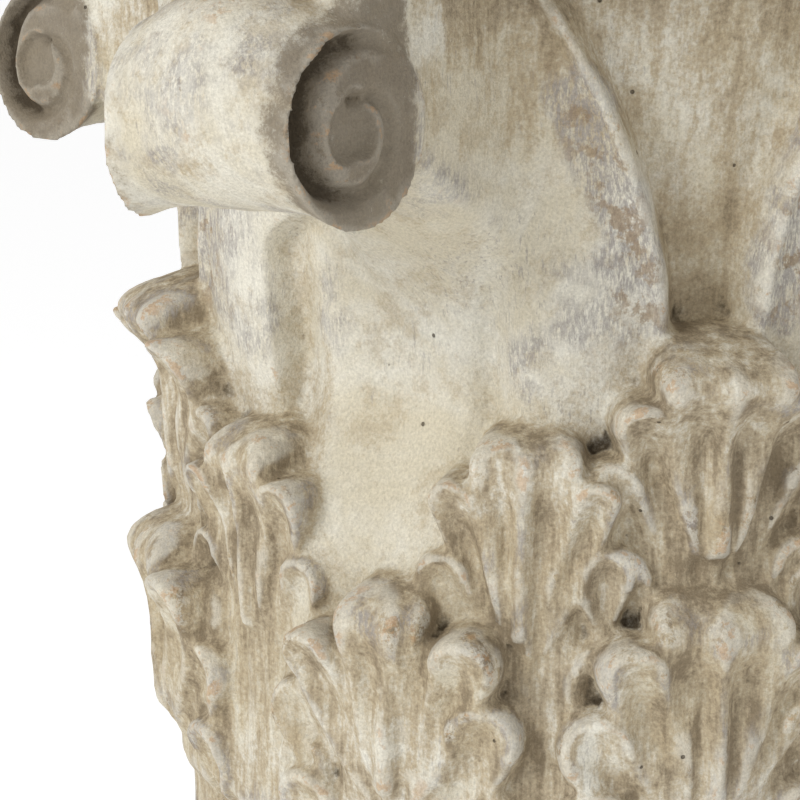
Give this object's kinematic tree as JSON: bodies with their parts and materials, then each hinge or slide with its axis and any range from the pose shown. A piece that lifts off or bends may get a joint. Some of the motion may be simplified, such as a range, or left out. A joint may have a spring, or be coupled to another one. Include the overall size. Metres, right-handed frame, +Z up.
{
  "type": "column pedestal",
  "caption": "Column pedestal in aged cast stone: square base, short fluted shaft and a leafy scrolled capital with a flat top.",
  "frame": {"origin": "middle of the square underside", "axes": "+Z up along the column; -Y is the front face of the capital"},
  "size_m": [0.4518, 0.4515, 0.915],
  "materials": {
    "cast_stone": "aged ivory, tan wash in the hollows",
    "shaft_stone": "aged ivory, dry-brushed",
    "base_stone": "aged ivory, dirtier at the foot"
  },
  "bodies": {
    "root": {"base": "base_stone", "shaft": "shaft_stone", "capital": "cast_stone"}
  },
  "joints": []
}
